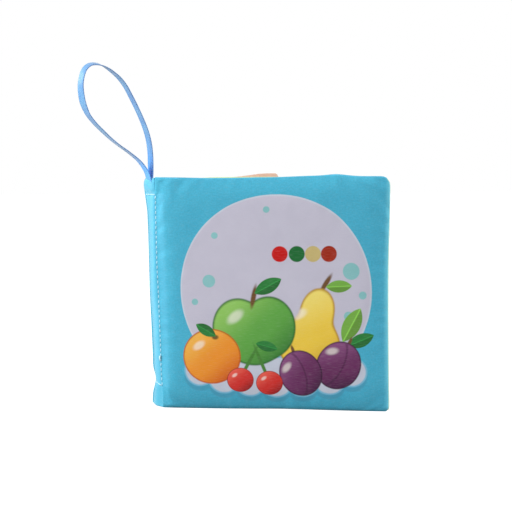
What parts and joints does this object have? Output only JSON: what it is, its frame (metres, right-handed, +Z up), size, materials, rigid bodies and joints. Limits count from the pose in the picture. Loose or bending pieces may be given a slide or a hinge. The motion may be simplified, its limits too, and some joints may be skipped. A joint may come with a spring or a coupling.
{
  "type": "crinkle cloth book",
  "caption": "Palm-size padded cloth book that stands part open, with sewn covers, soft crinkle leaves, a topstitched spine and a ribbon loop at the top of the spine.",
  "frame": {"origin": "middle of the foot of the spine, on the surface that the book stands on", "axes": "+Z up along the spine; -Y faces out of the front cover; +X from the spine to the fore-edge of the front cover"},
  "size_m": [0.1378, 0.1272, 0.1575],
  "materials": {
    "cover_cloth": "matte woven polyester",
    "page_yellow_cloth": "matte woven polyester",
    "page_pink_cloth": "matte woven polyester",
    "page_mint_cloth": "matte woven polyester",
    "page_peach_cloth": "matte woven polyester",
    "page_lilac_cloth": "matte woven polyester",
    "satin_ribbon": "satin",
    "sewing_thread": "semi-matte",
    "wadding": "fleecy",
    "crinkle_film": "glossy film"
  },
  "bodies": {
    "spine": {"spine_outer_fabric": "cover_cloth", "spine_wadding": "wadding", "spine_liner_tape": "cover_cloth", "outer_double_leaf_gutter": "page_pink_cloth", "inner_double_leaf_gutter": "page_mint_cloth", "spine_topstitch_thread": "sewing_thread", "saddle_stitch_thread": "sewing_thread", "ribbon_tail_near": "satin_ribbon", "ribbon_tail_far": "satin_ribbon"},
    "front_cover": {"front_cover_outer_fabric": "cover_cloth", "front_cover_wadding": "wadding", "front_cover_crinkle_film": "crinkle_film", "front_cover_lining": "page_yellow_cloth"},
    "leaf_1": {"leaf_1_front_fabric": "page_yellow_cloth", "leaf_1_crinkle_film": "crinkle_film", "leaf_1_back_fabric": "page_pink_cloth"},
    "leaf_2": {"leaf_2_front_fabric": "page_pink_cloth", "leaf_2_crinkle_film": "crinkle_film", "leaf_2_back_fabric": "page_mint_cloth"},
    "leaf_3": {"leaf_3_front_fabric": "page_mint_cloth", "leaf_3_crinkle_film": "crinkle_film", "leaf_3_back_fabric": "page_peach_cloth"},
    "leaf_4": {"leaf_4_front_fabric": "page_peach_cloth", "leaf_4_crinkle_film": "crinkle_film", "leaf_4_back_fabric": "page_lilac_cloth"},
    "back_cover": {"back_cover_outer_fabric": "cover_cloth", "back_cover_wadding": "wadding", "back_cover_crinkle_film": "crinkle_film", "back_cover_lining": "page_lilac_cloth"},
    "ribbon_loop": {"ribbon_loop": "satin_ribbon"}
  },
  "joints": [
    {"name": "front_cover_hinge", "type": "hinge", "parent": "spine", "child": "front_cover", "pos_m": [0.00265, -0.00415, 0], "axis": [0, 0, 1], "range_deg": [-100, 32.5]},
    {"name": "leaf_1_hinge", "type": "hinge", "parent": "spine", "child": "leaf_1", "pos_m": [0.00386, -0.00057, 0], "axis": [0, 0, 1], "range_deg": [-48, 16]},
    {"name": "leaf_2_hinge", "type": "hinge", "parent": "spine", "child": "leaf_2", "pos_m": [0.00295, 0.00087, 0], "axis": [0, 0, 1], "range_deg": [-12, 4]},
    {"name": "leaf_3_hinge", "type": "hinge", "parent": "spine", "child": "leaf_3", "pos_m": [0.00203, 0.0023, 0], "axis": [0, 0, -1], "range_deg": [-23, 11.5]},
    {"name": "leaf_4_hinge", "type": "hinge", "parent": "spine", "child": "leaf_4", "pos_m": [0.00112, 0.00374, 0], "axis": [0, 0, -1], "range_deg": [-54, 26.5]},
    {"name": "back_cover_hinge", "type": "hinge", "parent": "spine", "child": "back_cover", "pos_m": [-0.00265, 0.00415, 0], "axis": [0, 0, -1], "range_deg": [-89, 43.5]},
    {"name": "ribbon_loop_hinge", "type": "hinge", "parent": "spine", "child": "ribbon_loop", "pos_m": [-0.00089, -0.00056, 0.1079], "axis": [-0.5373, 0.8434, 0], "range_deg": [-50, 85], "stiffness_Nm_per_rad": 0.002}
  ],
  "couplings": [
    {"joint": "leaf_1_hinge", "follows": "front_cover_hinge", "ratio": 0.4769},
    {"joint": "leaf_2_hinge", "follows": "front_cover_hinge", "ratio": 0.1077},
    {"joint": "leaf_3_hinge", "follows": "back_cover_hinge", "ratio": 0.2529},
    {"joint": "leaf_4_hinge", "follows": "back_cover_hinge", "ratio": 0.5977}
  ]
}
